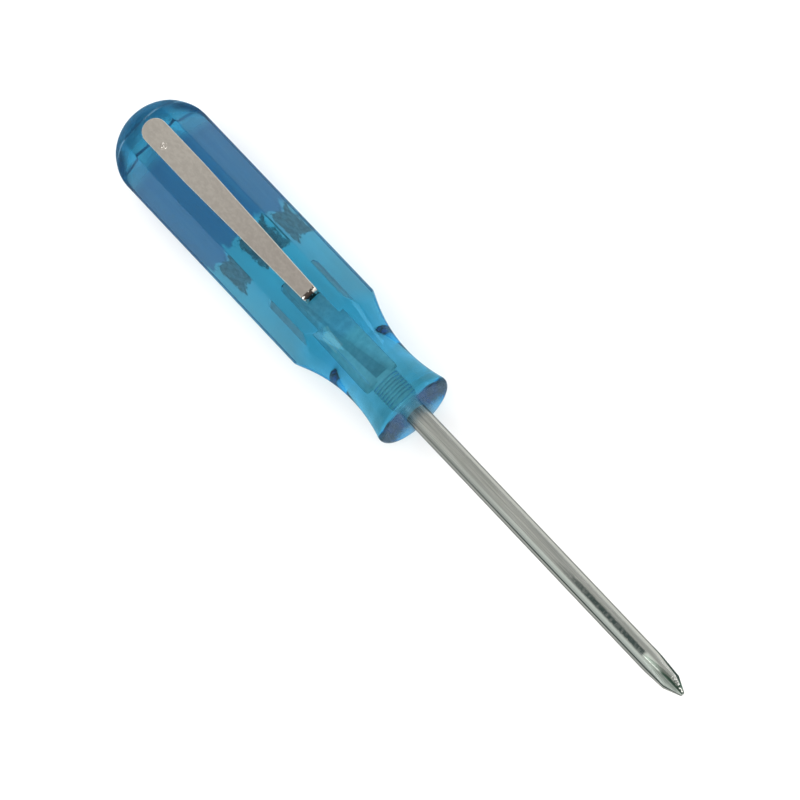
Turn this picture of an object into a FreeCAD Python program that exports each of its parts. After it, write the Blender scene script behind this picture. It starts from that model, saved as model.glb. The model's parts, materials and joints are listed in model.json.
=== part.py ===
"""Pocket-clip Phillips screwdriver: acetate handle, driven-in blade, riveted spring clip.

Frame: millimetres. The origin is on the blade's axis, in the flat front face of the handle.
+X runs along the blade to its tip, and +Z points out of the facet that carries the clip.
"""
import FreeCAD, Part
import math
import os

from FreeCAD import Vector

# ---------------------------------------------------------------- handle
HANDLE_LENGTH = 56.05         # butt to front face
CORNER_RADIUS = 6.95          # centre to corner of the hexagon
CORNER_ROUND = 0.25           # rounding along the six long edges
DOME_LENGTH = 6.1             # how far the rounded butt reaches along the handle
SHOULDER_RADIUS = 5.0         # the butt's rounding next to the facets
NECK_START = 16.2             # front face back to where the corners run into the neck
WAIST_BACK = 7.0              # front face back to the thinnest point
WAIST_RADIUS = 4.75
RIM_RADIUS = 5.66             # largest radius of the front collar
RIM_ROUND = 0.7               # rounding from the collar into the front face
APOTHEM = CORNER_RADIUS * math.cos(math.radians(30))

# ---------------------------------------------------------------- blade
SHANK_RADIUS = 1.5
BLADE_REACH = 50.8            # front face to point: a 2 inch blade
TAPER_BACK = 5.5              # point back to where the slight taper begins
CONE_BACK = 2.2               # point back to where the cone begins
CONE_RADIUS = 1.38            # radius where the taper meets the cone
POINT_RADIUS = 0.28           # the blunt end of the point
FLUTE_BACK = 7.3              # point back to where the flutes run out
FLUTE_ROOT = 0.3              # flute bottom to axis at the point
FLUTE_WHEEL_RADIUS = 30.0     # the round cutter that mills the flutes
FLUTE_TURN = 10.0             # the flutes' turn about +X, from facing the facets
FLUTE_COUNT = 4
GRIP_RADIUS = 1.3             # the shank is turned down a little inside the handle
RING_COUNT = 8                # grip rings round the turned-down part
RING_FIRST = 1.3              # front face back to the first ring's middle
RING_PITCH = 0.55
RING_DEPTH = 0.08
RING_HALF_WIDTH = 0.16
TANG_END = 24.0               # front face back to the tang's rear end
TANG_STEP = 6.2               # front face back to where the round shank ends
TANG_OVERLAP = 0.5            # how far the tang's wings run on beside the shank
TANG_WIDTH = 3.2
TANG_THICKNESS = 2.1
TANG_TURN = -12.0             # degrees about +X that the tang has turned while it was driven in
TANG_REAR_ROUND = 0.45
TANG_FRONT_ROUND = 0.3

# ---------------------------------------------------------------- clip and its pin
CLIP_OFFSET = 0.55            # the clip sits this far to +Y of the facet's middle
CLIP_THICKNESS = 0.5
CLIP_REAR = -51.95            # x of the round end
CLIP_FLEX = -42.0             # x of the line where the arm leaves the facet
CLIP_BEND = -19.35            # x where the arm turns down into its lip
CLIP_WIDTH = 3.5
CLIP_TIP_WIDTH = 2.12
CLIP_RISE = 2.6               # degrees that the arm climbs from the facet
CLIP_SPLIT = 0.08             # slit between pad and arm on the flex line
LIP_BEND_RADIUS = 0.2         # inside the bend
LIP_ANGLE = 78.0              # degrees that the lip turns down
LIP_CLEARANCE = 0.1           # lip to facet
PIN_X = -47.8
PIN_RADIUS = 0.5
PIN_HEAD_HEIGHT = 0.07        # peened head above the pad
PIN_DEPTH = 4.5               # facet down to the start of the point
PIN_POINT = 0.6

AXIS = Vector(1, 0, 0)
ORIGIN = Vector(0, 0, 0)


def in_xz(x, z):
    return Vector(x, 0, z)


def line(a, b):
    return Part.LineSegment(a, b).toShape()


def polyline(points):
    return [line(a, b) for a, b in zip(points, points[1:])]


def arc(centre, radius, start, end):
    """An arc in the XZ plane between two angles in degrees, measured from +X towards +Z."""
    def at(angle):
        a = math.radians(angle)
        return centre + in_xz(radius * math.cos(a), radius * math.sin(a))
    return Part.Arc(at(start), at((start + end) / 2), at(end)).toShape()


def face_of(edges):
    return Part.Face(Part.Wire(Part.__sortEdges__(edges)))


def turned(edges):
    """The solid that a half outline makes when it turns about the blade's axis."""
    return Part.makeSolid(face_of(edges).revolve(ORIGIN, AXIS, 360))


def rounded(shape, edges, radius):
    """Fillets those edges of the shape that run through the same middle points."""
    middles = [e.CenterOfMass for e in edges]
    same = [e for e in shape.Edges if any(e.CenterOfMass.isEqual(m, 1e-6) for m in middles)]
    return shape.makeFillet(radius, same)


def hexagon_bar():
    """A hexagonal bar with rounded long edges and a flat facing +Z."""
    corners = []
    for i in range(6):
        a = math.radians(60 * i)
        corners.append(Vector(-HANDLE_LENGTH, CORNER_RADIUS * math.cos(a), CORNER_RADIUS * math.sin(a)))
    bar = Part.Face(Part.makePolygon(corners + corners[:1])).extrude(Vector(HANDLE_LENGTH, 0, 0))
    long_edges = [e for e in bar.Edges if abs(e.Length - HANDLE_LENGTH) < 1e-6]
    return bar.makeFillet(CORNER_ROUND, long_edges)


def butt_arcs():
    """Crown and shoulder arcs of the butt, from its apex out to the corner radius."""
    dome_x = DOME_LENGTH - HANDLE_LENGTH
    inset = CORNER_RADIUS - SHOULDER_RADIUS
    # The crown's radius follows from touching the shoulder and passing through the apex.
    crown = DOME_LENGTH ** 2 + inset ** 2 - SHOULDER_RADIUS ** 2
    crown /= 2 * (DOME_LENGTH - SHOULDER_RADIUS)
    crown_x = crown - HANDLE_LENGTH
    meet = 180 - math.degrees(math.atan2(inset, crown_x - dome_x))
    return [arc(in_xz(crown_x, 0), crown, 180, meet),
            arc(in_xz(dome_x, inset), SHOULDER_RADIUS, meet, 90)]


def handle_envelope():
    """The turned outline that rounds the bar's butt and cuts its neck and collar."""
    entry_run = NECK_START - WAIST_BACK
    entry_drop = CORNER_RADIUS - WAIST_RADIUS
    entry_radius = (entry_run ** 2 + entry_drop ** 2) / (2 * entry_drop)
    entry_angle = math.degrees(math.asin(entry_run / entry_radius))

    # The flare's radius follows from touching both the waist and the rim's rounding.
    run = WAIST_BACK - RIM_ROUND
    rise = WAIST_RADIUS - RIM_RADIUS + RIM_ROUND
    flare_radius = (run ** 2 + rise ** 2 - RIM_ROUND ** 2) / (2 * (RIM_ROUND - rise))
    flare_angle = math.degrees(math.atan2(run, flare_radius + rise))

    corner = in_xz(-NECK_START, CORNER_RADIUS)
    edges = butt_arcs() + [line(in_xz(DOME_LENGTH - HANDLE_LENGTH, CORNER_RADIUS), corner)]
    edges.append(arc(in_xz(-WAIST_BACK, WAIST_RADIUS + entry_radius), entry_radius, 270 - entry_angle, 270))
    edges.append(arc(in_xz(-WAIST_BACK, WAIST_RADIUS + flare_radius), flare_radius, 270, 270 + flare_angle))
    edges.append(arc(in_xz(-RIM_ROUND, RIM_RADIUS - RIM_ROUND), RIM_ROUND, 90 + flare_angle, 0))
    edges.append(line(in_xz(0, RIM_RADIUS - RIM_ROUND), ORIGIN))
    edges.append(line(ORIGIN, in_xz(-HANDLE_LENGTH, 0)))
    return turned(edges)


def rod():
    """Round shank with its grip rings, slight taper and cone."""
    outline = [in_xz(-TANG_STEP, 0), in_xz(-TANG_STEP, GRIP_RADIUS)]
    for i in reversed(range(RING_COUNT)):
        x = -RING_FIRST - i * RING_PITCH
        outline.append(in_xz(x - RING_HALF_WIDTH, GRIP_RADIUS))
        outline.append(in_xz(x, GRIP_RADIUS - RING_DEPTH))
        outline.append(in_xz(x + RING_HALF_WIDTH, GRIP_RADIUS))
    outline += [in_xz(0, GRIP_RADIUS), in_xz(0, SHANK_RADIUS)]
    outline.append(in_xz(BLADE_REACH - TAPER_BACK, SHANK_RADIUS))
    outline.append(in_xz(BLADE_REACH - CONE_BACK, CONE_RADIUS))
    outline.append(in_xz(BLADE_REACH, POINT_RADIUS))
    outline.append(in_xz(BLADE_REACH, 0))
    return turned(polyline(outline + outline[:1]))


def tang():
    """The flattened end that stops the blade turning in the handle."""
    length = TANG_END - TANG_STEP + TANG_OVERLAP
    corner = Vector(-TANG_END, -TANG_WIDTH / 2, -TANG_THICKNESS / 2)
    block = Part.makeBox(length, TANG_WIDTH, TANG_THICKNESS, corner)
    upright = [e for e in block.Edges if abs(e.tangentAt(e.FirstParameter).z) > 0.9]
    rear = [e for e in upright if e.CenterOfMass.x < -TANG_STEP]
    front = [e for e in upright if e.CenterOfMass.x > -TANG_STEP]
    block = rounded(rounded(block, rear, TANG_REAR_ROUND), front, TANG_FRONT_ROUND)
    block.rotate(ORIGIN, AXIS, TANG_TURN)
    return block


def flute_cutter():
    """A 90 degree V-edged wheel set so that its rim follows the bottom of the +Z flute."""
    tip = in_xz(BLADE_REACH, FLUTE_ROOT)
    runout = in_xz(BLADE_REACH - FLUTE_BACK, SHANK_RADIUS)
    chord = tip - runout
    height = math.sqrt(FLUTE_WHEEL_RADIUS ** 2 - (chord.Length / 2) ** 2)
    normal = in_xz(-chord.z, chord.x).normalize()
    hub = (tip + runout) * 0.5 + normal * height
    depth = 2 * SHANK_RADIUS
    edge = hub - in_xz(0, FLUTE_WHEEL_RADIUS)
    flank = Vector(0, depth, depth)
    profile = Part.makePolygon([edge, edge + flank, edge + Vector(0, -depth, depth), edge])
    return Part.makeSolid(Part.Face(profile).revolve(hub, Vector(0, 1, 0), 360))


def make_blade():
    blade = rod().fuse(tang()).removeSplitter()
    cutter = flute_cutter()
    for i in range(FLUTE_COUNT):
        tool = cutter.copy()
        tool.rotate(ORIGIN, AXIS, FLUTE_TURN + i * 360 / FLUTE_COUNT)
        blade = blade.cut(tool)
    return blade


def make_pin():
    """Drive pin with a low domed head, standing in the middle of the facet."""
    top = APOTHEM + CLIP_THICKNESS
    dome_radius = (PIN_RADIUS ** 2 + PIN_HEAD_HEIGHT ** 2) / (2 * PIN_HEAD_HEIGHT)
    dome_centre = Vector(0, 0, top + PIN_HEAD_HEIGHT - dome_radius)
    half = math.degrees(math.asin(PIN_RADIUS / dome_radius))
    bottom = APOTHEM - PIN_DEPTH
    outline = [in_xz(PIN_RADIUS, top), in_xz(PIN_RADIUS, bottom), in_xz(0, bottom - PIN_POINT),
               in_xz(0, top + PIN_HEAD_HEIGHT)]
    edges = polyline(outline) + [arc(dome_centre, dome_radius, 90, 90 - half)]
    pin = Part.makeSolid(face_of(edges).revolve(ORIGIN, Vector(0, 0, 1), 360))
    pin.translate(Vector(PIN_X, 0, 0))
    return pin


def clip_plan():
    """The clip seen from above: round end, parallel pad, then a long taper."""
    radius = CLIP_WIDTH / 2
    low = APOTHEM - 1
    pad_x = CLIP_REAR + radius
    end_x = CLIP_BEND + 2
    tip = CLIP_TIP_WIDTH / 2

    def at(x, y):
        return Vector(x, y + CLIP_OFFSET, low)

    edges = [Part.Arc(at(pad_x, radius), at(CLIP_REAR, 0), at(pad_x, -radius)).toShape()]
    edges += polyline([at(pad_x, -radius), at(CLIP_FLEX, -radius), at(end_x, -tip), at(end_x, tip),
                       at(CLIP_FLEX, radius), at(pad_x, radius)])
    return face_of(edges).extrude(Vector(0, 0, 4))


def clip_strip(edges):
    """A side outline of the strip, drawn out past both of the clip's edges."""
    strip = face_of(edges)
    strip.translate(Vector(0, CLIP_OFFSET - CLIP_WIDTH, 0))
    return strip.extrude(Vector(0, 2 * CLIP_WIDTH, 0))


def make_clip_pad(pin):
    top = APOTHEM + CLIP_THICKNESS
    rear = CLIP_REAR - 1
    front = CLIP_FLEX - CLIP_SPLIT / 2
    outline = [in_xz(rear, APOTHEM), in_xz(front, APOTHEM), in_xz(front, top), in_xz(rear, top)]
    pad = clip_strip(polyline(outline + outline[:1])).common(clip_plan())
    return pad.cut(pin)


def make_clip_arm():
    """The spring arm, drawn flat from the flex line and then raised about it."""
    top = APOTHEM + CLIP_THICKNESS
    start = CLIP_FLEX + CLIP_SPLIT / 2
    run = CLIP_BEND - CLIP_FLEX
    centre = in_xz(CLIP_BEND, APOTHEM - LIP_BEND_RADIUS)
    outer = LIP_BEND_RADIUS + CLIP_THICKNESS
    end = 90 - LIP_ANGLE
    a = math.radians(end)
    down = in_xz(math.sin(a), -math.cos(a))
    out = in_xz(math.cos(a), math.sin(a))
    rise = run * math.sin(math.radians(CLIP_RISE))
    bent = LIP_BEND_RADIUS * (1 - math.sin(a))
    lip = (rise - LIP_CLEARANCE - bent) / math.cos(a)
    inner_end = centre + out * LIP_BEND_RADIUS
    outer_end = centre + out * outer
    edges = polyline([in_xz(CLIP_BEND, APOTHEM), in_xz(start, APOTHEM), in_xz(start, top), in_xz(CLIP_BEND, top)])
    edges.append(arc(centre, outer, 90, end))
    edges += polyline([outer_end, outer_end + down * lip, inner_end + down * lip, inner_end])
    edges.append(arc(centre, LIP_BEND_RADIUS, end, 90))
    arm = clip_strip(edges).common(clip_plan())
    arm.rotate(in_xz(CLIP_FLEX, APOTHEM + CLIP_THICKNESS / 2), Vector(0, -1, 0), CLIP_RISE)
    return arm


def main():
    blade = make_blade()
    pin = make_pin()
    handle = hexagon_bar().common(handle_envelope()).cut(blade).cut(pin)
    nodes = {
        "handle": handle,
        "blade": blade,
        "clip_pad": make_clip_pad(pin),
        "clip_arm": make_clip_arm(),
        "clip_pin": pin,
    }
    os.makedirs("parts", exist_ok=True)
    for name, shape in nodes.items():
        solids = shape.Solids
        assert shape.isValid() and len(solids) == 1, name
        solids[0].exportStep("parts/" + name + ".step")
        print(name, round(solids[0].Volume, 2), solids[0].optimalBoundingBox())


main()
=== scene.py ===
import json
import math

import bmesh
import bpy
from mathutils import Matrix, Vector


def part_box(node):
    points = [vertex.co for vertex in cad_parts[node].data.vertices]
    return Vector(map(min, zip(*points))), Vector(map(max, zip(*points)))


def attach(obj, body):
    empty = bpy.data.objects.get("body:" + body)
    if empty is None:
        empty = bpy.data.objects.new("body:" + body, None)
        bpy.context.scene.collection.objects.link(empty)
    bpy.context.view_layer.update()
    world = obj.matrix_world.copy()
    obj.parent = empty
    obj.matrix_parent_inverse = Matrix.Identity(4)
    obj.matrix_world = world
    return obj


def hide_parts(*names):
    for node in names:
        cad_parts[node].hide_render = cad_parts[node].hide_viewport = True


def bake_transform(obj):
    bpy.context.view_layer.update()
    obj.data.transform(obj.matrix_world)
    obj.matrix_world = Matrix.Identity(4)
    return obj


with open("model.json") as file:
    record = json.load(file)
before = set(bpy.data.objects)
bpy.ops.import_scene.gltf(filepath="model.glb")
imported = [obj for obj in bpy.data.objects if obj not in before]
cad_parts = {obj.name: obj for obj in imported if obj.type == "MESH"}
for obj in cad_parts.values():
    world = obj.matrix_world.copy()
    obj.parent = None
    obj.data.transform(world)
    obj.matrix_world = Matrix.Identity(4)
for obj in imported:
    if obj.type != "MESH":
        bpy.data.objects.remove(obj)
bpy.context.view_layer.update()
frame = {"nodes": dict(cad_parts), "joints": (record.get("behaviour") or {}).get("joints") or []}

MM = 0.001

# ---------------------------------------------------------------- sizes read from the frame, in mm
def node_box(name):
    low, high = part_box(name)
    return low / MM, high / MM


handle_low, handle_high = node_box("handle")
blade_low, blade_high = node_box("blade")
pad_low, pad_high = node_box("clip_pad")
flex = frame["joints"][0]

APOTHEM = handle_high.z
CORNER_ROUND = 0.25
CORNER_RADIUS = APOTHEM / math.cos(math.radians(30))
HANDLE_LENGTH = handle_high.x - handle_low.x
DOME_LENGTH = 6.1
SHOULDER_RADIUS = 5.0
NECK_START = 16.2
WAIST_BACK = 7.0
WAIST_RADIUS = 4.75
RIM_RADIUS = 5.66
RIM_ROUND = 0.7
CREASE_ROUND = 0.2            # softening where the neck meets the facets
BUTT_CREASE_ROUND = 0.9       # softening where the butt meets the facets

SHANK_RADIUS = blade_high.z
GRIP_RADIUS = 1.3
BLADE_REACH = blade_high.x
TANG_END = blade_low.x
TANG_HALF_WIDTH = 1.6
TANG_HALF_THICKNESS = 1.05
TANG_TURN = math.radians(-12)
TANG_CORNER_ROUND = 0.42
TANG_EDGE_ROUND = 0.12
TANG_STEP = -6.2
TANG_FRONT = -5.7
TAPER_BACK = 5.5
CONE_BACK = 2.2
CONE_RADIUS = 1.38
POINT_RADIUS = 0.28
FLUTE_BACK = 7.3
FLUTE_START = BLADE_REACH - FLUTE_BACK
FLUTE_ROOT = 0.3
FLUTE_WHEEL_RADIUS = 30.0
FLUTE_TURN = math.radians(10)
FLUTE_SOFTNESS = 0.09
RING_COUNT = 8
RING_FIRST = 1.3
RING_PITCH = 0.55
RING_DEPTH = 0.08
RING_HALF_WIDTH = 0.16
RING_FILL = 0.5               # share of each ring's depth that the plastic has flowed into
BORE_GAP = -0.012             # the bore lies just inside the metal: the plastic is bonded to it

CLIP_THICKNESS = pad_high.z - pad_low.z
CLIP_MIDDLE = (pad_low.y + pad_high.y) / 2
CLIP_HALF_WIDTH = (pad_high.y - pad_low.y) / 2
CLIP_TIP_HALF_WIDTH = 1.06
CLIP_REAR = pad_low.x
CLIP_FLEX = flex["pos_m"][0] / MM
CLIP_BEND = -19.35
CLIP_RISE = math.radians(2.6)
CLIP_EDGE_ROUND = 0.13
FLEX_BLEND = 3.0              # the strip's bend is spread this far each side of the flex line
LIP_BEND_RADIUS = 0.2
LIP_ANGLE = math.radians(78)
LIP_CLEARANCE = 0.1

# ---------------------------------------------------------------- colours, as red, green, blue
ACETATE_IOR = 1.48
DYE = (0.12, 0.885, 0.966)
DYE_DENSITY = 200.0
ACETATE_CLEAR = (0.725, 0.785, 0.825)
ACETATE_SHADED = (0.42, 0.41, 0.58)
NECK_PAINTED_LIGHT = (0.81, 0.86, 0.94)
COLLAR_SHADE = (0.62, 0.66, 0.69)
BUTT_SHADE = (0.56, 0.63, 0.74)
STREAK_TINT = (0.60, 0.64, 0.70)
INK = (0.29, 0.27, 0.29)
FROSTED = (0.16, 0.40, 0.60)
FROST_SHARE = 0.07            # how much of the front face scatters
GLOSS_TINT = (0.42, 0.60, 0.72)
BUTT_GLOSS = (0.14, 0.30, 0.44)
NECK_GLOSS = (0.27, 0.66, 0.92)
NECK_SIDE_SHADED_GLOSS = (0.14, 0.28, 0.40)
FACE_GLOSS = (0.36, 0.52, 0.66)
BUTT_ROUGHNESS = 0.40
FACE_ROUGHNESS = 0.12
SHADE_EDGE = -35.6            # the underside is painted in shade behind this x: the table's shadow under the handle, seen through it
SHADE_RAGGED = 12.0           # how far the painted shade's edge wanders, in mm
BUTT_EDGE = -50.2             # the butt is painted in shade and scuffed behind this x
INK_MIDDLE = (-32.0, 0.7)     # x and y
INK_HALF_SIZE = (2.4, 2.5)
INK_DEPTH = 0.06              # only the skin this close to the lowest facet is inked

STEEL = ((0.19, 0.20, 0.19), (0.31, 0.32, 0.30))
STEEL_BLOTCH = (0.21, 0.225, 0.20)
STEEL_HATCH = (0.035, 0.05, 0.048)
STEEL_FLANK_HIGHLIGHT = (0.40, 0.41, 0.38)
STEEL_LOWER_REFLECTION = (0.42, 0.47, 0.44)
STEEL_REFLECTION_LINE = (0.03, 0.045, 0.04)
STEEL_CHIP = (0.95, 0.94, 0.90)
STEEL_FLUTE_SHADE = (0.05, 0.085, 0.065)
STEEL_RUNOUT = (0.52, 0.58, 0.53)
DULL_DEEP = ((0.155, 0.275, 0.335), (0.20, 0.345, 0.415))
DULL_NECK_LIT = ((0.195, 0.345, 0.37), (0.245, 0.415, 0.44))
DULL_REFLECTION = (0.35, 0.42, 0.42)

PLATE_REAR = ((0.285, 0.268, 0.245), (0.325, 0.308, 0.28))
PLATE_FRONT = ((0.245, 0.225, 0.205), (0.28, 0.26, 0.237))
PLATE_EDGE_HIGHLIGHT = (0.72, 0.68, 0.60)
PLATE_LIP_REFLECTION = ((0.05, 0.04, 0.035), (0.80, 0.76, 0.70))
PIN_STEEL_AND_GLINTS = ((0.27, 0.25, 0.225), (0.90, 0.87, 0.82))

# ---------------------------------------------------------------- studio
FLOOR_GAP = 0.15              # mm between the lowest facet and the floor
FLOOR_HALF_SIZE = 1500        # mm
FLOOR_WHITE = (0.9, 0.9, 0.9, 1)
TENT_TOP = (1.32, 1.30, 1.26, 1)
TENT_FOOT = (0.45, 0.46, 0.48, 1)
TENT_FOOT_HEIGHT = 0.6        # where the tent reaches its full brightness; 1 is straight up
CAMERA_TARGET = (-2.77, -0.305, 0)
CAMERA_TILT = math.radians(19.0)     # from straight above toward the point
CAMERA_ROLL = math.radians(0.6)
CAMERA_SLANT = math.radians(46.53)   # the tool's slope in the picture
CAMERA_DISTANCE = 0.6918
CAMERA_LENS = 244.6335


# ---------------------------------------------------------------- mesh helpers
def finished(name, bm, smooth_angle=40):
    bmesh.ops.recalc_face_normals(bm, faces=bm.faces)
    mesh = bpy.data.meshes.new(name)
    bm.to_mesh(mesh)
    bm.free()
    mesh.transform(Matrix.Scale(MM, 4))
    for polygon in mesh.polygons:
        polygon.use_smooth = True
    mesh.set_sharp_from_angle(angle=math.radians(smooth_angle))
    obj = bpy.data.objects.new(name, mesh)
    bpy.context.scene.collection.objects.link(obj)
    return obj


def skin(bm, loops):
    """Quads between each loop of vertices and the next."""
    count = len(loops[0])
    for a, b in zip(loops, loops[1:]):
        for i in range(count):
            j = (i + 1) % count
            bm.faces.new((a[i], a[j], b[j], b[i]))


def lathe_like(name, rings, start, end=None, smooth_angle=40):
    """A closed skin over rings of equal length, closed at each end by a point or one flat face."""
    bm = bmesh.new()
    loops = [[bm.verts.new(p) for p in ring] for ring in rings]
    count = len(loops[0])
    skin(bm, loops)
    for loop, point in ((loops[0], start), (loops[-1], end)):
        if point is None:
            bm.faces.new(loop)
        else:
            tip = bm.verts.new(point)
            for i in range(count):
                bm.faces.new((loop[i], loop[(i + 1) % count], tip))
    return finished(name, bm, smooth_angle)


def spread(a, b, count):
    """count values from a to b, without b."""
    return [a + (b - a) * i / count for i in range(count)]


# ---------------------------------------------------------------- handle
class Outline:
    """The turned envelope of the handle: radius and its stations along X."""

    def __init__(self):
        self.length = HANDLE_LENGTH
        self.dome_x = DOME_LENGTH - self.length
        self.inset = CORNER_RADIUS - SHOULDER_RADIUS
        crown = DOME_LENGTH ** 2 + self.inset ** 2 - SHOULDER_RADIUS ** 2
        self.crown = crown / (2 * (DOME_LENGTH - SHOULDER_RADIUS))
        self.crown_x = self.crown - self.length
        self.meet = math.atan2(self.inset, self.crown_x - self.dome_x)
        run, drop = NECK_START - WAIST_BACK, CORNER_RADIUS - WAIST_RADIUS
        self.entry = (run ** 2 + drop ** 2) / (2 * drop)
        run = WAIST_BACK - RIM_ROUND
        rise = WAIST_RADIUS - RIM_RADIUS + RIM_ROUND
        self.flare = (run ** 2 + rise ** 2 - RIM_ROUND ** 2) / (2 * (RIM_ROUND - rise))
        self.flare_angle = math.atan2(run, self.flare + rise)

    def crown_point(self, angle):
        return self.crown_x - self.crown * math.cos(angle), self.crown * math.sin(angle)

    def shoulder_x(self, radius):
        return self.dome_x - math.sqrt(SHOULDER_RADIUS ** 2 - (radius - self.inset) ** 2)

    def entry_x(self, radius):
        drop = self.entry + WAIST_RADIUS - radius
        return -WAIST_BACK - math.sqrt(self.entry ** 2 - drop ** 2)

    def entry_point(self, angle):
        x = -WAIST_BACK - self.entry * math.sin(angle)
        return x, WAIST_RADIUS + self.entry * (1 - math.cos(angle))

    def flare_point(self, angle):
        x = -WAIST_BACK + self.flare * math.sin(angle)
        return x, WAIST_RADIUS + self.flare * (1 - math.cos(angle))

    def rim_point(self, angle):
        return RIM_ROUND * (math.sin(angle) - 1), RIM_RADIUS - RIM_ROUND * (1 - math.cos(angle))


def hexagon_radius(angle):
    """Distance from the axis to the bar's surface, angle from the middle of a facet."""
    off = abs((angle + math.pi / 6) % (math.pi / 3) - math.pi / 6)
    corner = (APOTHEM - CORNER_ROUND) / math.cos(math.radians(30))
    side = math.radians(30) - off
    reach = CORNER_ROUND ** 2 - (corner * math.sin(side)) ** 2
    flat = APOTHEM / math.cos(off)
    tangent = math.atan((APOTHEM - CORNER_ROUND) * math.tan(math.radians(30)) / APOTHEM)
    if off <= tangent or reach <= 0:
        return flat
    return corner * math.cos(side) + math.sqrt(reach)


def soft_min(a, b, width):
    """The smaller of a and b, with their meeting rounded over about this width."""
    gap = max(width - abs(a - b), 0) / width
    return min(a, b) - gap * gap * width / 4


FACET_EDGE = math.radians(30)
HALF_FACET = spread(0, 0.85 * FACET_EDGE, 20) + spread(0.85 * FACET_EDGE, FACET_EDGE, 9) + [FACET_EDGE]
HANDLE_ANGLES = [math.radians(60 * i + 30) + a for i in range(6)
                 for a in [-v for v in reversed(HALF_FACET[1:-1])] + HALF_FACET]


def handle_ring(x, radius):
    """The handle's section at x: the hexagon, cut by the turned envelope of this radius.

    The crease between the two fades to nothing where the envelope leaves the corners.
    """
    butt, neck = (DOME_LENGTH - HANDLE_LENGTH - x) / 3, (x + NECK_START) / 3
    crease = max(BUTT_CREASE_ROUND * min(butt, 1), CREASE_ROUND * min(neck, 1), 0.01)
    ring = []
    for angle in HANDLE_ANGLES:
        r = soft_min(hexagon_radius(angle - math.radians(30)), radius, crease)
        ring.append((x, r * math.cos(angle), r * math.sin(angle)))
    return ring


def handle_stations():
    """(x, envelope radius) from the butt to the front face."""
    o = Outline()
    corner = CORNER_RADIUS + 0.01
    out = [o.crown_point(a) for a in spread(o.meet / 14, o.meet, 13)]
    first = o.crown_point(o.meet)[1]
    out += [(o.shoulder_x(r), r) for r in spread(first, APOTHEM, 8)]
    creases = [math.radians(30) * i / 22 for i in range(23)]
    out += [(o.shoulder_x(APOTHEM / math.cos(a)), APOTHEM / math.cos(a)) for a in creases]
    neck_x = -NECK_START
    middle = spread(o.dome_x + 0.35, neck_x - 0.35, 24)
    out += [(o.dome_x + 0.15, corner)] + [(x, corner) for x in middle] + [(neck_x - 0.12, corner)]
    out += [(o.entry_x(APOTHEM / math.cos(a)), APOTHEM / math.cos(a)) for a in reversed(creases)]
    last = math.asin((-WAIST_BACK - o.entry_x(APOTHEM)) / o.entry)
    out += [o.entry_point(a) for a in spread(last, 0, 18)[1:]]
    out += [o.flare_point(a) for a in spread(0, o.flare_angle, 16)]
    turn = math.pi / 2 + o.flare_angle
    out += [o.rim_point(-o.flare_angle + turn * i / 16) for i in range(17)]
    return out


def grip_stations(fill=1.0):
    """(x, radius) of the turned-down, ringed stretch, from its rear end to the front face."""
    out = []
    for i in reversed(range(RING_COUNT)):
        x = -RING_FIRST - i * RING_PITCH
        out += [(x - RING_HALF_WIDTH, 0), (x, RING_DEPTH * fill), (x + RING_HALF_WIDTH, 0)]
    return [(x, GRIP_RADIUS - depth) for x, depth in [(TANG_STEP + 0.06, 0)] + out + [(0, 0)]]


def bore_rings():
    """The blade's seat inside the handle: round by the face, then a flat slot for the tang."""
    half_w, half_t = TANG_HALF_WIDTH + BORE_GAP, TANG_HALF_THICKNESS + BORE_GAP

    def round_ring(x, radius):
        return [(x, radius * math.cos(a), radius * math.sin(a)) for a in HANDLE_ANGLES]

    def slot_ring(x):
        ring = []
        for a in HANDLE_ANGLES:
            c, d = abs(math.cos(a - TANG_TURN)), abs(math.sin(a - TANG_TURN))
            reach = min(half_w / max(c, 1e-6), half_t / max(d, 1e-6))
            ring.append((x, reach * math.cos(a), reach * math.sin(a)))
        return ring

    flat = RIM_RADIUS - RIM_ROUND
    seat = GRIP_RADIUS + BORE_GAP
    rings = [round_ring(0, flat + (seat - flat) * share) for share in (0.35, 0.7, 0.95)]
    rings += [round_ring(x, r + BORE_GAP) for x, r in reversed(grip_stations(RING_FILL))
              if x > TANG_STEP + 0.05]
    return rings + [slot_ring(x) for x in (TANG_STEP - 0.02, -12, -18, TANG_END - BORE_GAP)]


def make_handle():
    rings = [handle_ring(x, r) for x, r in handle_stations()] + bore_rings()
    return lathe_like("acetate_handle", rings, start=(-HANDLE_LENGTH, 0, 0), smooth_angle=28)


# ---------------------------------------------------------------- blade
def flute_bottom(x):
    """Distance from the axis to the bottom of a flute: a chord of the round cutter."""
    tip, runout = Vector((BLADE_REACH, FLUTE_ROOT)), Vector((FLUTE_START, SHANK_RADIUS))
    chord = tip - runout
    height = math.sqrt(FLUTE_WHEEL_RADIUS ** 2 - (chord.length / 2) ** 2)
    hub = (tip + runout) / 2 + Vector((-chord.y, chord.x)).normalized() * height
    return hub.y - math.sqrt(FLUTE_WHEEL_RADIUS ** 2 - (x - hub.x) ** 2)


def flute_radius(angle, bottom):
    """Distance from the axis to a flute's wall: a V with a slightly soft root."""
    c, s = math.cos(angle), math.sin(angle)
    spreadness = c * c - s * s
    q = bottom - FLUTE_SOFTNESS
    if spreadness < 1e-4:
        return 1e6
    inside = (q * c) ** 2 - spreadness * (q * q - FLUTE_SOFTNESS ** 2)
    return (q * c + math.sqrt(max(inside, 0))) / spreadness


def land_angle(radius, bottom):
    """Where a flute's wall comes out through a round surface of this radius."""
    low, high = 0.0, math.radians(45)
    for _ in range(40):
        mid = (low + high) / 2
        if flute_radius(mid, bottom) < radius:
            low = mid
        else:
            high = mid
    return low


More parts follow.
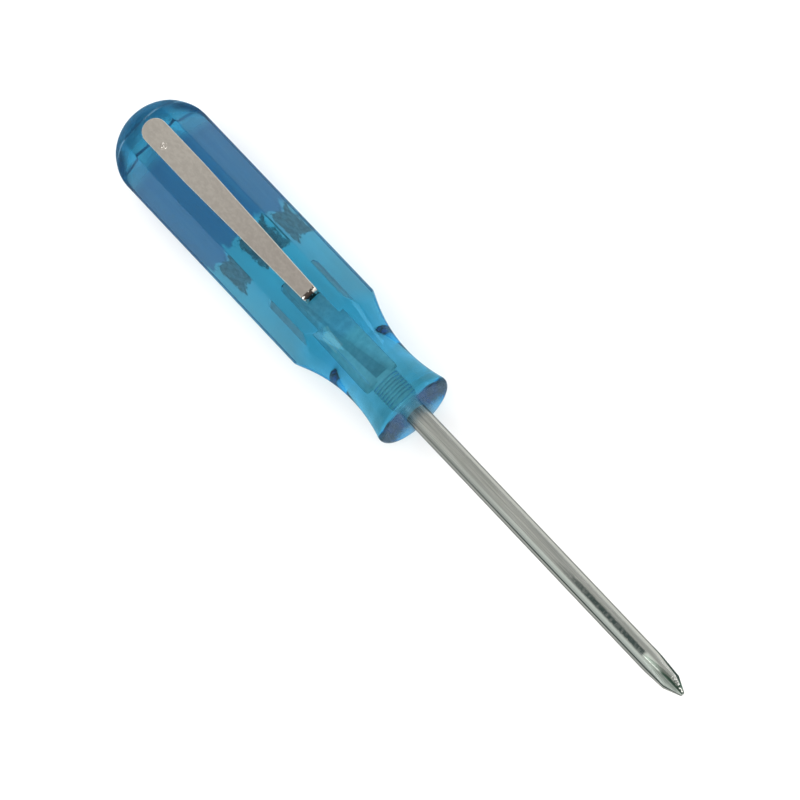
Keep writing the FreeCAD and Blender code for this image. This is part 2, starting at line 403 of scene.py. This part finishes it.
def blade_radius(x):
    taper_x, cone_x = BLADE_REACH - TAPER_BACK, BLADE_REACH - CONE_BACK
    if x <= taper_x:
        return SHANK_RADIUS
    if x <= cone_x:
        return SHANK_RADIUS + (CONE_RADIUS - SHANK_RADIUS) * (x - taper_x) / (cone_x - taper_x)
    return CONE_RADIUS + (POINT_RADIUS - CONE_RADIUS) * (x - cone_x) / CONE_BACK


def blade_ring(x, radius):
    """Eight half sectors, each with a flute part and a land part that meet on the flute's edge."""
    fluted = x > FLUTE_START
    bottom = flute_bottom(x) if fluted else SHANK_RADIUS
    edge = math.radians(45)
    crease = max(land_angle(radius, bottom), math.radians(3)) if fluted else math.radians(3)
    crease = min(crease, edge - math.radians(1.5))
    half = spread(0, crease, 9) + spread(crease, edge, 7) + [edge]
    ring = []
    for i in range(4):
        middle = FLUTE_TURN + math.radians(90 * i)
        for a in [-v for v in reversed(half[1:-1])] + half:
            r = min(radius, flute_radius(abs(a), bottom)) if fluted else radius
            ring.append((x, r * math.cos(middle + a), r * math.sin(middle + a)))
    return ring


def shank_stations():
    out = [(TANG_STEP, GRIP_RADIUS - 0.06)] + grip_stations()
    cone_x, blunt_x = BLADE_REACH - CONE_BACK, BLADE_REACH - 0.03
    out += [(x, SHANK_RADIUS) for x in spread(0, FLUTE_START - 0.2, 12)]
    out += [(x, blade_radius(x)) for x in spread(FLUTE_START, cone_x, 34) + spread(cone_x, blunt_x, 20)]
    return out + [(blunt_x, blade_radius(blunt_x)), (BLADE_REACH, POINT_RADIUS - 0.05)]


def make_shank():
    rings = [blade_ring(x, r) for x, r in shank_stations()]
    return lathe_like("blade_shank", rings, (TANG_STEP, 0, 0), (BLADE_REACH, 0, 0), smooth_angle=32)


def make_tang():
    """The flattened bar behind the shank, with rounded corners and edges."""
    bm = bmesh.new()
    length = TANG_FRONT - TANG_END
    bmesh.ops.create_cube(bm, size=1)
    for v in bm.verts:
        v.co = Vector(((v.co.x + 0.5) * length + TANG_END, v.co.y * 2 * TANG_HALF_WIDTH,
                       v.co.z * 2 * TANG_HALF_THICKNESS))
    upright = [e for e in bm.edges if abs(e.verts[0].co.z - e.verts[1].co.z) > 1]
    bmesh.ops.bevel(bm, geom=upright, offset=TANG_CORNER_ROUND, segments=6, affect="EDGES", profile=0.5)
    rest = [e for e in bm.edges if len(e.link_faces) == 2 and e.calc_face_angle() > 0.9]
    bmesh.ops.bevel(bm, geom=rest, offset=TANG_EDGE_ROUND, segments=3, affect="EDGES", profile=0.5)
    turn = Matrix.Rotation(TANG_TURN, 3, "X")
    bmesh.ops.rotate(bm, verts=bm.verts, cent=(0, 0, 0), matrix=turn)
    return finished("blade_tang", bm, 30)


def join(name, first, second):
    """Welds two solids that overlap into one skin."""
    modifier = first.modifiers.new("weld", "BOOLEAN")
    modifier.operation = "UNION"
    modifier.solver = "EXACT"
    modifier.object = second
    bpy.context.view_layer.update()
    evaluated = first.evaluated_get(bpy.context.evaluated_depsgraph_get())
    mesh = bpy.data.meshes.new_from_object(evaluated)
    first.modifiers.clear()
    first.data = mesh
    first.name = name
    mesh.name = name
    bpy.data.objects.remove(second)
    return first


# ---------------------------------------------------------------- clip
def clip_path():
    """Lengths of the strip's stretches: flat pad, flex bend, straight arm, curl and lip."""
    rise = (CLIP_BEND - CLIP_FLEX) * math.sin(CLIP_RISE)
    curl_drop = LIP_BEND_RADIUS * (1 - math.sin(math.pi / 2 - LIP_ANGLE))
    lip = (rise - LIP_CLEARANCE - curl_drop) / math.cos(math.pi / 2 - LIP_ANGLE)
    flat = CLIP_FLEX - FLEX_BLEND - CLIP_REAR
    arm = CLIP_BEND - CLIP_FLEX - FLEX_BLEND
    return flat, 2 * FLEX_BLEND, arm, LIP_BEND_RADIUS * LIP_ANGLE, lip


def strip_point(s, offset, parts):
    """Point of the bent strip: s along its underside, offset above that underside."""
    flat, bend, arm, curl, _ = parts
    x, z, slope = CLIP_REAR, APOTHEM, 0.0
    if s <= flat:
        x += s
    elif s <= flat + bend:
        q = s - flat
        slope = CLIP_RISE * q / bend
        x += flat + q
        z += CLIP_RISE * q * q / (2 * bend)
    else:
        x0, z0 = CLIP_REAR + flat + bend, APOTHEM + CLIP_RISE * bend / 2
        q = s - flat - bend
        straight = min(q, arm)
        slope = CLIP_RISE
        x, z = x0 + straight * math.cos(slope), z0 + straight * math.sin(slope)
        if q > arm:
            turn = min(q - arm, curl) / LIP_BEND_RADIUS
            # The bend turns about a centre below the underside.
            cx, cz = x + LIP_BEND_RADIUS * math.sin(slope), z - LIP_BEND_RADIUS * math.cos(slope)
            slope -= turn
            x, z = cx - LIP_BEND_RADIUS * math.sin(slope), cz + LIP_BEND_RADIUS * math.cos(slope)
            rest = max(q - arm - curl, 0)
            x, z = x + rest * math.cos(slope), z + rest * math.sin(slope)
    return x - offset * math.sin(slope), z + offset * math.cos(slope)


def strip_half_width(s):
    if s < CLIP_HALF_WIDTH:
        return math.sqrt(max(CLIP_HALF_WIDTH ** 2 - (CLIP_HALF_WIDTH - s) ** 2, 0))
    taper_start = CLIP_FLEX - CLIP_REAR
    share = min(max((s - taper_start) / (CLIP_BEND - CLIP_FLEX + 2), 0), 1)
    return CLIP_HALF_WIDTH + (CLIP_TIP_HALF_WIDTH - CLIP_HALF_WIDTH) * share


def strip_edge():
    """(inset, height) round the strip's edge, from its top face to its bottom face."""
    e, t = CLIP_EDGE_ROUND, CLIP_THICKNESS
    top = [(e * (1 - math.sin(a)), t - e * (1 - math.cos(a))) for a in spread(0, math.pi / 2, 5)]
    low = [(inset, t - height) for inset, height in reversed(top)]
    return top + [(0, t - e), (0, e)] + low


def strip_side(s, total):
    """(s, y, height) round one edge of the strip; round the pad's end an inset follows the radius."""
    side = []
    for inset, height in strip_edge():
        if s < CLIP_HALF_WIDTH:
            angle = math.acos(1 - s / CLIP_HALF_WIDTH)
            r = CLIP_HALF_WIDTH - inset
            side.append((CLIP_HALF_WIDTH - r * math.cos(angle), r * math.sin(angle), height))
        else:
            end_inset = inset if s > total - 0.5 * CLIP_EDGE_ROUND else 0
            side.append((s - end_inset, strip_half_width(s) - inset, height))
    return side


def make_clip():
    parts = clip_path()
    flat, bend, _, curl, lip = parts
    total = sum(parts)
    stations = [CLIP_HALF_WIDTH * (1 - math.cos(a)) for a in spread(0, math.pi / 2, 22)]
    stations += spread(CLIP_HALF_WIDTH, flat, 16) + spread(flat, flat + bend, 12)
    stations += spread(flat + bend, total - curl - lip, 30)
    stations += spread(total - curl - lip, total - lip, 12)
    stations += spread(total - lip, total - 0.02, 6) + [total - 0.02]
    across = [math.sin(math.pi / 2 * i / 6) for i in range(-5, 6)]
    bm = bmesh.new()

    def at(s, y, height):
        x, z = strip_point(s, height, parts)
        return bm.verts.new((x, y + CLIP_MIDDLE, z))

    rings = []
    for s in stations:
        side = strip_side(s, total)
        (top_s, top_y, top_h), (low_s, low_y, low_h) = side[0], side[-1]
        ring = side + [(low_s, low_y * k, low_h) for k in reversed(across)]
        ring += [(ss, -y, h) for ss, y, h in reversed(side)] + [(top_s, top_y * k, top_h) for k in across]
        rings.append([at(*p) for p in ring])
    skin(bm, rings)
    bm.faces.new(rings[-1])
    bmesh.ops.remove_doubles(bm, verts=bm.verts, dist=1e-5)
    bmesh.ops.dissolve_degenerate(bm, dist=1e-6, edges=bm.edges)
    return finished("spring_clip", bm, 35)


# ---------------------------------------------------------------- materials
class Shader:
    """A Principled material, with short calls for the nodes that feed it. Places are in mm."""

    def __init__(self, name, **inputs):
        self.mat = bpy.data.materials.new(name)
        self.mat.use_nodes = True
        self.tree = self.mat.node_tree
        self.bsdf = self.tree.nodes["Principled BSDF"]
        self.out = self.tree.nodes["Material Output"]
        place = self.add("ShaderNodeTexCoord").outputs["Object"]
        self.place = self.scaled(place, (1 / MM, 1 / MM, 1 / MM))
        self.x, self.y, self.z = self.add("ShaderNodeSeparateXYZ", {0: self.place}).outputs
        squares = self.plus(self.times(self.y, self.y), self.times(self.z, self.z))
        self.reach = self.math("SQRT", squares)                  # distance from the axis
        self.across = self.math("DIVIDE", self.y, self.reach)    # -1 to 1, from side to side
        for key, value in inputs.items():
            self.bsdf.inputs[key.replace("_", " ")].default_value = value

    def add(self, kind, inputs=None, **settings):
        node = self.tree.nodes.new(kind)
        for key, value in settings.items():
            setattr(node, key, value)
        for key, value in (inputs or {}).items():
            if isinstance(value, bpy.types.NodeSocket):
                self.tree.links.new(value, node.inputs[key])
            else:
                node.inputs[key].default_value = value
        return node

    def scaled(self, vector, by):
        return self.add("ShaderNodeVectorMath", {0: vector, 1: by}, operation="MULTIPLY").outputs[0]

    def math(self, operation, a, b=0.0):
        return self.add("ShaderNodeMath", {0: a, 1: b}, operation=operation).outputs[0]

    def times(self, product, *factors):
        for factor in factors:
            product = self.math("MULTIPLY", product, factor)
        return product

    def plus(self, total, *terms):
        for term in terms:
            total = self.math("ADD", total, term)
        return total

    def apart(self, a, b):
        return self.math("ABSOLUTE", self.math("SUBTRACT", a, b))

    def noise(self, scale, detail=2.0, roughness=0.5):
        """Noise between about 0 and 1; scale is cells per mm along each axis."""
        inputs = {"Vector": self.scaled(self.place, scale), "Scale": 1.0, "Detail": detail,
                  "Roughness": roughness}
        return self.add("ShaderNodeTexNoise", inputs).outputs["Fac"]

    def ramp(self, value, low, high, to_low=0.0, to_high=1.0):
        """A smooth step: to_low where value is at low, to_high where it is at high."""
        inputs = {"Value": value, "From Min": low, "From Max": high, "To Min": to_low, "To Max": to_high}
        node = self.add("ShaderNodeMapRange", inputs, interpolation_type="SMOOTHSTEP", clamp=True)
        return node.outputs["Result"]

    def mix(self, share, a, b):
        """Colour a where share is 0, colour b where it is 1."""
        node = self.add("ShaderNodeMix", data_type="RGBA")
        for index, value in ((0, share), (6, a), (7, b)):
            if isinstance(value, bpy.types.NodeSocket):
                self.tree.links.new(value, node.inputs[index])
            else:
                node.inputs[index].default_value = (*value, 1)
        return node.outputs[2]

    def mix_shader(self, share, a, b):
        inputs = {0: share, 1: a.outputs[0], 2: b.outputs[0]}
        return self.add("ShaderNodeMixShader", inputs)

    def set(self, name, value):
        self.tree.links.new(value, self.bsdf.inputs[name])

    def bump(self, height, distance_mm):
        inputs = {"Height": height, "Distance": distance_mm * MM}
        return self.add("ShaderNodeBump", inputs).outputs["Normal"]


def worn_ink(s):
    """Where the plain, worn block of ink lies, on the facet opposite the clip."""
    worn = s.times(s.math("SUBTRACT", s.noise((0.6, 0.8, 0.8), 4, 0.68), 0.5), 2.0)
    along = s.math("DIVIDE", s.apart(s.x, INK_MIDDLE[0]), INK_HALF_SIZE[0])
    across = s.math("DIVIDE", s.apart(s.y, INK_MIDDLE[1]), INK_HALF_SIZE[1])
    reach = s.plus(s.math("MAXIMUM", along, across), worn)
    faded = s.ramp(s.noise((1.3, 1.6, 1.6), 3, 0.6), 0.35, 0.65, 1.0, 0.72)
    below = s.ramp(s.z, INK_DEPTH - APOTHEM, INK_DEPTH / 2 - APOTHEM)
    return s.times(s.ramp(reach, 1.12, 0.90), faded, below)


def acetate():
    """Blue acetate: a tinted, refracting surface with dimmed gloss, round a volume that absorbs."""
    s = Shader("blue_acetate")
    face = s.ramp(s.x, -0.35, -0.1)
    ragged = s.math("SUBTRACT", s.noise((0.3, 0.3, 0.3)), 0.5)
    edge = s.plus(s.x, s.times(ragged, SHADE_RAGGED))
    # Painted shade: the view through the underside is darkened behind a ragged edge, for the table's
    # shadow under the handle.
    painted_shade = s.times(s.ramp(edge, SHADE_EDGE + 0.5, SHADE_EDGE - 0.5), s.ramp(s.z, 1.5, -1.5))
    # Painted light: the view through the neck is lighter, where more light reaches under it.
    tint = s.mix(s.ramp(s.x, -18, -13), ACETATE_CLEAR, NECK_PAINTED_LIGHT)
    tint = s.mix(painted_shade, tint, ACETATE_SHADED)
    # Painted shade: the view through the butt is darker and bluer.
    tint = s.mix(s.ramp(s.x, BUTT_EDGE + 0.8, BUTT_EDGE - 1.2), tint, BUTT_SHADE)
    # Painted shade: a greyer, ragged tint over the collar's flare.
    collar_shade = s.times(s.ramp(s.x, -8, -3), s.ramp(s.x, -0.3, -0.9), s.ramp(ragged, -0.3, 0.1))
    tint = s.mix(collar_shade, tint, COLLAR_SHADE)
    tint = s.mix(s.ramp(s.noise((0.15, 1.1, 1.1)), 0.35, 0.75, 0, 0.16), tint, STREAK_TINT)
    tint = s.mix(worn_ink(s), tint, INK)

    # Polished sides, a scuffed butt and a frosted front face with turning marks.
    rough = s.plus(s.ramp(s.noise((2.5, 6, 6), 3), 0.45, 0.8, 0.015, 0.07),
                   s.ramp(s.x, BUTT_EDGE + 1.0, BUTT_EDGE - 1.6, 0, BUTT_ROUGHNESS),
                   s.times(face, FACE_ROUGHNESS))
    turning = s.add("ShaderNodeTexNoise", {"W": s.reach, "Scale": 5.0, "Detail": 3.0},
                    noise_dimensions="1D").outputs["Fac"]
    marks = s.times(turning, s.ramp(s.x, -0.9, -0.2, 0, 12))
    dimples = s.times(s.noise((2.6, 2.6, 2.6)), s.ramp(s.x, BUTT_EDGE, BUTT_EDGE - 1.5, 0, 16))
    normal = s.bump(s.plus(s.noise((0.5, 0.9, 0.9)), marks, dimples), 0.004)

    # The gloss is dimmer on the butt; along the sides of the neck it is darkened as painted shade, so the
    # floor reflects dark there.
    neck_gloss = s.mix(s.ramp(s.math("ABSOLUTE", s.z), 0.8, 1.8), NECK_SIDE_SHADED_GLOSS, NECK_GLOSS)
    shine = s.mix(s.ramp(s.x, BUTT_EDGE + 1.5, BUTT_EDGE - 0.5), GLOSS_TINT, BUTT_GLOSS)
    shine = s.mix(s.ramp(s.x, -NECK_START - 1, -NECK_START + 2), shine, neck_gloss)
    shine = s.mix(face, shine, FACE_GLOSS)

    both = {"Roughness": rough, "Normal": normal}
    through = s.add("ShaderNodeBsdfRefraction", {"Color": tint, "IOR": ACETATE_IOR, **both})
    frost = s.add("ShaderNodeBsdfDiffuse", {"Color": (*FROSTED, 1)})
    gloss = s.add("ShaderNodeBsdfGlossy", {"Color": shine, **both})
    fresnel = s.add("ShaderNodeFresnel", {"IOR": ACETATE_IOR, "Normal": normal}).outputs[0]
    surface = s.mix_shader(fresnel, s.mix_shader(s.times(face, FROST_SHARE), through, frost), gloss)
    s.tree.links.new(surface.outputs[0], s.out.inputs["Surface"])
    volume = s.add("ShaderNodeVolumeAbsorption", {"Color": (*DYE, 1), "Density": DYE_DENSITY})
    s.tree.links.new(volume.outputs[0], s.out.inputs["Volume"])
    return s.mat


def held_metal(s):
    """The blade's colour inside the handle, where the plastic has dulled it."""
    dulling = s.ramp(s.noise((1.6, 1.6, 1.6), 3), 0.3, 0.7)
    deep, neck = s.mix(dulling, *DULL_DEEP), s.mix(dulling, *DULL_NECK_LIT)
    # Painted light: the tang is lighter under the neck.
    color = s.mix(s.ramp(s.x, -14.5, -13), deep, neck)
    # A paler patch on the tang's flat face: a painted reflection of light off it.
    reflection_patch = s.times(s.ramp(s.x, -16.0, -15.6), s.ramp(s.x, -12.8, -13.0),
                    s.ramp(s.y, -0.45, -0.6), s.ramp(s.z, 0.4, 0.6))
    return s.mix(reflection_patch, color, DULL_REFLECTION)


def blade_metal():
    """Plated steel: lengthwise grain, dull where the plastic grips it, hatched toward the point, with
    painted reflections along its sides.
    """
    s = Shader("ground_steel", Metallic=1.0)
    grain = s.noise((0.09, 7, 7), 4, 0.6)
    blotch = s.noise((0.35, 1.2, 1.2), 3)
    color = s.mix(s.ramp(grain, 0.3, 0.7), *STEEL)
    color = s.mix(s.ramp(blotch, 0.4, 0.75, 0, 0.35), color, STEEL_BLOTCH)

    # A dark, hatched band along the clip's side, from part of the way along up to the flutes.
    hatch = s.noise((3.2, 0.9, 0.9), 3, 0.6)
    centre = s.plus(s.math("ABSOLUTE", s.y), s.times(hatch, 0.5))
    band = s.times(s.ramp(centre, 0.72, 0.48), s.ramp(s.plus(s.x, s.times(blotch, 6.0)), 29, 37),
                   s.ramp(s.x, FLUTE_START + 0.7, FLUTE_START + 0.2), s.ramp(hatch, 0.3, 0.6, 0.65, 1.0))
    color = s.mix(band, color, STEEL_HATCH)

    # Painted reflections: a lighter upper flank, a light band on the lower flank, and dark lines along
    # both edges and inside that band.
    color = s.mix(s.ramp(s.across, 0.62, 0.74), color, STEEL_FLANK_HIGHLIGHT)
    lower_light_band = s.times(s.ramp(s.across, -0.2, -0.4), s.ramp(s.x, 5, 30, 0.3, 1.0),
                    s.ramp(s.across, -0.86, -0.70, 0, 0.75))
    color = s.mix(lower_light_band, color, STEEL_LOWER_REFLECTION)
    edges = s.math("MAXIMUM", s.ramp(s.across, 0.86, 0.93), s.ramp(s.across, -0.88, -0.94))
    lower_dark_line = s.times(s.ramp(s.across, -0.66, -0.71), s.ramp(s.across, -0.82, -0.77),
                     s.ramp(s.x, 0, 28, 0.5, 1.0))
    color = s.mix(s.math("MAXIMUM", edges, lower_dark_line), color, STEEL_REFLECTION_LINE)

    # The cone is freshly chipped on one side; the flutes are painted in shade inside, on their upper
    # walls, and bright at their ends.
    cone_x = BLADE_REACH - CONE_BACK
    chips = s.times(s.ramp(s.x, cone_x - 0.3, cone_x), s.ramp(s.noise((4, 4, 4), 3, 0.7), 0.50, 0.56),
                    s.ramp(s.apart(s.across, 0.52), 0.28, 0.18))
    color = s.mix(chips, color, STEEL_CHIP)
    flute_shade = s.times(s.ramp(s.reach, SHANK_RADIUS - 0.45, SHANK_RADIUS - 0.75),
                     s.ramp(s.x, FLUTE_START + 2.7, FLUTE_START + 3.9),
                     s.ramp(s.across, -0.35, -0.1), s.ramp(chips, 1, 0))
    color = s.mix(flute_shade, color, STEEL_FLUTE_SHADE)
    runout = s.times(s.ramp(s.x, FLUTE_START + 0.2, FLUTE_START + 1.0),
                     s.ramp(s.x, FLUTE_START + 3.9, FLUTE_START + 2.1),
                     s.ramp(s.math("ABSOLUTE", s.across), 0.42, 0.10), 0.7)
    color = s.mix(runout, color, STEEL_RUNOUT)

    held = s.ramp(s.x, 0.05, -0.05)
    s.set("Base Color", s.mix(held, color, held_metal(s)))
    s.set("Metallic", s.math("SUBTRACT", 1.0, s.times(held, 0.8)))
    s.set("Roughness", s.plus(s.ramp(grain, 0.3, 0.7, 0.34, 0.24), s.times(held, 0.40)))
    s.set("Normal", s.bump(s.plus(s.times(grain, 0.7), s.times(hatch, 0.3)), 0.012))
    return s.mat


def clip_metal():
    """Satin nickel plate with fine mottling, darker toward the lip, with painted highlights on its edges;
    the lip is a painted reflection, black with painted glints.
    """
    s = Shader("nickel_plate", Metallic=1.0)
    mottle = s.noise((1.4, 2.2, 2.2), 4, 0.62)
    fine = s.noise((5, 9, 9), 3, 0.6)
    mottled = s.ramp(mottle, 0.35, 0.68)
    color = s.mix(s.ramp(s.x, -46, CLIP_BEND), s.mix(mottled, *PLATE_REAR), s.mix(mottled, *PLATE_FRONT))
    normal = s.add("ShaderNodeNewGeometry").outputs["Normal"]
    upward = s.add("ShaderNodeSeparateXYZ", {0: normal}).outputs[2]
    # Painted highlights on the strip's rounded edges, where the surface turns away from facing up.
    color = s.mix(s.ramp(upward, 0.96, 0.80), color, PLATE_EDGE_HIGHLIGHT)
    # Painted reflection on the lip: black, with painted glints that gather toward its two ends.
    lip = s.ramp(s.x, CLIP_BEND - 0.05, CLIP_BEND + 0.15)
    glint_ends = s.ramp(s.apart(s.y, CLIP_MIDDLE), 0.4, 0.75, 0, 0.17)
    lip_glints = s.ramp(s.plus(s.noise((3.0, 2.2, 3.0)), glint_ends), 0.60, 0.64)
    s.set("Base Color", s.mix(lip, color, s.mix(lip_glints, *PLATE_LIP_REFLECTION)))
    s.set("Roughness", s.math("SUBTRACT", s.ramp(fine, 0.3, 0.7, 0.46, 0.36), s.times(lip, 0.22)))
    s.set("Normal", s.bump(s.plus(s.times(mottle, 0.6), s.times(fine, 0.4)), 0.02))
    return s.mat


def pin_metal():
    """Peened steel with hammer marks, and bright specks on them that are painted glints."""
    s = Shader("bright_pin", Metallic=1.0)
    marks = s.noise((4.5, 4.5, 1), 3, 0.7)
    # Painted glints: the highest hammer marks are painted as light specks.
    s.set("Base Color", s.mix(s.ramp(marks, 0.52, 0.60), *PIN_STEEL_AND_GLINTS))
    s.set("Roughness", s.ramp(marks, 0.45, 0.65, 0.42, 0.18))
    s.set("Normal", s.bump(marks, 0.05))
    return s.mat


# ---------------------------------------------------------------- pieces
handle = make_handle()
handle.data.materials.append(acetate())
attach(handle, "driver")
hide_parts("handle")

blade = join("steel_blade", make_shank(), make_tang())
blade.data.materials.clear()
blade.data.materials.append(blade_metal())
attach(blade, "driver")
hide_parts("blade")

clip = make_clip()
clip.data.materials.append(clip_metal())
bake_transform(clip)
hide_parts("clip_pad", "clip_arm")

pin = frame["nodes"]["clip_pin"]
pin.data.materials.clear()
pin.data.materials.append(pin_metal())


# ---------------------------------------------------------------- floor, light and camera
def make_floor():
    bm = bmesh.new()
    bmesh.ops.create_grid(bm, x_segments=1, y_segments=1, size=FLOOR_HALF_SIZE)
    floor = finished("floor", bm)
    floor.location = (0, 0, (handle_low.z - FLOOR_GAP) * MM)
    paper = Shader("pale_floor", Base_Color=FLOOR_WHITE, Roughness=0.9)
    floor.data.materials.append(paper.mat)


def area_light(name, location, target, size, power):
    """A lamp aimed at target, in metres and watts, without shadows so the floor stays white."""
    data = bpy.data.lights.new(name, "AREA")
    data.shape = "RECTANGLE"
    data.size, data.size_y = size
    data.energy = power
    data.use_shadow = False
    light = bpy.data.objects.new(name, data)
    light.location = location
    light.rotation_euler = (Vector(target) - Vector(location)).to_track_quat("-Z", "Y").to_euler()
    bpy.context.scene.collection.objects.link(light)


def make_world():
    """An even white tent, a little dimmer toward its foot."""
    world = bpy.data.worlds.new("studio")
    bpy.context.scene.world = world
    world.use_nodes = True
    nodes, links = world.node_tree.nodes, world.node_tree.links
    direction = nodes.new("ShaderNodeTexCoord").outputs["Generated"]
    parts = nodes.new("ShaderNodeSeparateXYZ")
    links.new(direction, parts.inputs[0])
    height = nodes.new("ShaderNodeMapRange")
    links.new(parts.outputs["Z"], height.inputs["Value"])
    height.inputs["From Max"].default_value = TENT_FOOT_HEIGHT
    mix = nodes.new("ShaderNodeMix")
    mix.data_type = "RGBA"
    links.new(height.outputs["Result"], mix.inputs[0])
    mix.inputs[6].default_value = TENT_FOOT
    mix.inputs[7].default_value = TENT_TOP
    links.new(mix.outputs[2], nodes["Background"].inputs["Color"])


def make_camera():
    across = Vector((0, math.cos(CAMERA_ROLL), math.sin(CAMERA_ROLL)))
    above = Vector((0, -math.sin(CAMERA_ROLL), math.cos(CAMERA_ROLL)))
    toward = math.sin(CAMERA_TILT) * Vector((1, 0, 0)) + math.cos(CAMERA_TILT) * above
    along = across.cross(toward)
    right = math.cos(CAMERA_SLANT) * along + math.sin(CAMERA_SLANT) * across
    up = math.cos(CAMERA_SLANT) * across - math.sin(CAMERA_SLANT) * along
    data = bpy.data.cameras.new("camera")
    data.sensor_width = 36
    data.lens = CAMERA_LENS
    data.clip_start, data.clip_end = 0.01, 20
    camera = bpy.data.objects.new("camera", data)
    place = Matrix((right, up, toward)).transposed().to_4x4()
    place.translation = Vector(CAMERA_TARGET) * MM + toward * CAMERA_DISTANCE
    camera.matrix_world = place
    bpy.context.scene.collection.objects.link(camera)
    bpy.context.scene.camera = camera


make_floor()
make_world()
area_light("window", (0.46, -0.53, 0.97), (-0.015, 0, 0), (0.65, 0.65), 5)
area_light("side", (0.1, 1.0, 0.2), (0, 0, 0), (0.7, 0.2), 1.5)
make_camera()
bpy.context.scene.view_settings.view_transform = "Standard"
